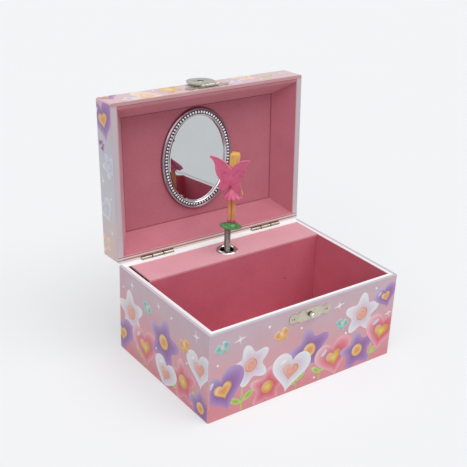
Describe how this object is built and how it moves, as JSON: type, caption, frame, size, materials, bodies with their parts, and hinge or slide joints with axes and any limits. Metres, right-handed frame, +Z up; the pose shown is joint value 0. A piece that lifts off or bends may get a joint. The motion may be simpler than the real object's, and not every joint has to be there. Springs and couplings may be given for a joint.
{
  "type": "ballerina jewellery box",
  "caption": "Card-covered musical jewellery box with a hinged mirror lid, lined tray, snap catch and a dancer on a spring who turns as the wound movement plays and folds when the lid shuts.",
  "frame": {"origin": "middle of the underside of the base, on the surface that it stands on", "axes": "+X to the right along the front, +Y to the rear hinges, +Z up"},
  "size_m": [0.152, 0.1434, 0.1734],
  "materials": {
    "box_board": "pressed grey board",
    "print_paper": "satin printed paper",
    "rim_paper": "satin white paper turned over the edge",
    "lining_paper": "matt rose paper with a fine linen grain",
    "nickel": "bright nickel plate",
    "silver_plastic": "metallised silver",
    "mirror": "silvered mirror",
    "zinc": "die-cast zinc",
    "steel": "polished steel",
    "brass": "bright brass",
    "black_plastic": "black nylon",
    "leaf_green": "painted green",
    "skin": "moulded flesh colour",
    "hair_blond": "painted blond hair",
    "dress_pink": "painted pink",
    "wing_pink": "moulded pink"
  },
  "bodies": {
    "base": {"base_floor_board": "box_board", "base_front_board": "box_board", "base_left_board": "box_board", "base_print_wrap": "print_paper", "base_rear_board": "box_board", "base_right_board": "box_board", "base_rim_band": "rim_paper", "catch_knob": "nickel", "catch_nail_left": "nickel", "catch_nail_right": "nickel", "catch_plate": "nickel", "comb_base": "zinc", "deck_eyelet": "nickel", "deck_ledge": "box_board", "hinge_base_leaf_left": "nickel", "hinge_base_leaf_right": "nickel", "hinge_pin_left": "nickel", "hinge_pin_right": "nickel", "lower_bearing_plate": "zinc", "mainspring": "steel", "mechanism_deck": "lining_paper", "mechanism_divider": "lining_paper", "movement_bedplate": "zinc", "music_comb": "steel", "spring_housing": "zinc", "tray_floor_liner": "lining_paper", "tray_wall_liner": "lining_paper", "upper_bearing_plate": "zinc"},
    "lid": {"hasp_plate": "nickel", "hinge_lid_leaf_left": "nickel", "hinge_lid_leaf_right": "nickel", "lid_front_board": "box_board", "lid_left_board": "box_board", "lid_panel": "lining_paper", "lid_print_wrap": "print_paper", "lid_rear_board": "box_board", "lid_right_board": "box_board", "lid_rim_band": "rim_paper", "lid_sloped_liner": "lining_paper", "lid_top_board": "box_board", "mirror_frame": "silver_plastic", "mirror_glass": "mirror"},
    "hasp": {"hasp_flap": "nickel"},
    "key_train": {"winding_key": "nickel", "winding_arbor": "steel", "crown_wheel": "brass"},
    "cylinder": {"cylinder_arbor": "steel", "music_cylinder": "brass", "governor_drive_wheel": "brass"},
    "governor": {"fan_arbor": "steel", "fan_blades": "black_plastic"},
    "stop_lever": {"stop_lever": "black_plastic"},
    "dancer_mount": {"dancer_spring": "steel", "spring_cup": "steel"},
    "dancer": {"leaf_stand": "leaf_green", "dancer_figure": "skin", "dancer_skirt": "dress_pink", "dancer_head": "hair_blond", "dancer_wings": "wing_pink"}
  },
  "joints": [
    {"name": "lid_hinge", "type": "hinge", "parent": "base", "child": "lid", "pos_m": [0, 0.0545, 0.0622], "axis": [1, 0, 0], "range_deg": [0, 93]},
    {"name": "hasp_swing", "type": "hinge", "parent": "lid", "child": "hasp", "pos_m": [0, 0.06397, 0.17216], "axis": [1, 0, 0], "range_deg": [0, 180]},
    {"name": "key_spin", "type": "hinge", "parent": "base", "child": "key_train", "pos_m": [0, 0.05, 0.017], "axis": [0, 1, 0], "continuous": true},
    {"name": "cylinder_spin", "type": "hinge", "parent": "base", "child": "cylinder", "pos_m": [0, 0.0376, 0.04], "axis": [0, 0, 1], "continuous": true},
    {"name": "governor_spin", "type": "hinge", "parent": "base", "child": "governor", "pos_m": [-0.01215, 0.0376, 0.04], "axis": [0, 0, 1], "continuous": true},
    {"name": "stop_lever_tilt", "type": "hinge", "parent": "base", "child": "stop_lever", "pos_m": [-0.04, 0.048, 0.05], "axis": [0, 1, 0], "range_deg": [-3, 0]},
    {"name": "dancer_fold", "type": "hinge", "parent": "base", "child": "dancer_mount", "pos_m": [0, 0.0376, 0.069], "axis": [0.8141, -0.5807, 0], "range_deg": [0, 93], "deforming": ["dancer_spring"]},
    {"name": "dancer_spin", "type": "hinge", "parent": "dancer_mount", "child": "dancer", "pos_m": [0, 0.0376, 0.079], "axis": [0, 0, 1], "continuous": true}
  ],
  "couplings": [
    {"joint": "cylinder_spin", "follows": "key_spin", "ratio": -4},
    {"joint": "governor_spin", "follows": "key_spin", "ratio": 16},
    {"joint": "dancer_spin", "follows": "key_spin", "ratio": -4},
    {"joint": "dancer_fold", "follows": "lid_hinge", "ratio": 1},
    {"joint": "stop_lever_tilt", "follows": "lid_hinge", "ratio": -0.032258}
  ]
}
